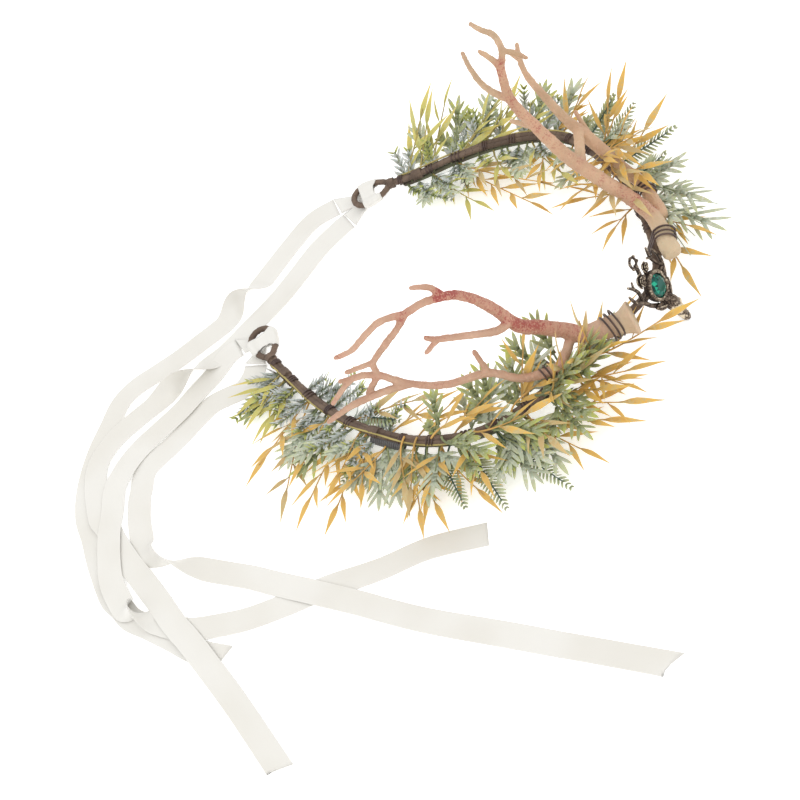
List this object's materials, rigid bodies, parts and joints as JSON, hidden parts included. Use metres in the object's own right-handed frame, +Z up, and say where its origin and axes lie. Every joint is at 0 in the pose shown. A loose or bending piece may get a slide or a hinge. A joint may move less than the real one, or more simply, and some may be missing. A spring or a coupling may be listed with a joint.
{
  "type": "circlet",
  "caption": "Open head circlet: a tape-wound wire band with leaf garlands, branching antlers, a stag-head brooch with an oval stone, and long satin ribbons that tie it at the back.",
  "frame": {"origin": "centre of the bottom of the circlet's box as it lies on the table, ribbon tails left out", "axes": "+X to the wearer's left, +Y to the back of the head where the ribbons tie, +Z up from the table; the brooch faces -Y"},
  "size_m": [0.321, 0.2872, 0.091],
  "materials": {
    "floral_tape": "dark brown crepe tape wound on wire, matt",
    "leaves": "moulded leaves: gold, grey-green and blue-green",
    "antler": "peach with coral-red speckle, matt",
    "bronze": "antique bronze, worn bright on the high spots",
    "stone": "faceted teal green, polished",
    "wire": "dark lacquered wire, satin",
    "satin": "ivory satin ribbon, soft sheen"
  },
  "bodies": {
    "root": {"band": "floral_tape", "garland_right": "leaves", "garland_left": "leaves", "antler_right": "antler", "antler_left": "antler", "brooch": "bronze", "gem": "stone", "tie_right_front": "wire", "tie_right_rear": "wire", "tie_left_front": "wire", "tie_left_rear": "wire", "ribbon_hitch_right": "satin", "ribbon_hitch_left": "satin", "ribbon_right_inner": "satin", "ribbon_right_outer": "satin", "ribbon_left_inner": "satin", "ribbon_left_outer": "satin"}
  },
  "joints": []
}
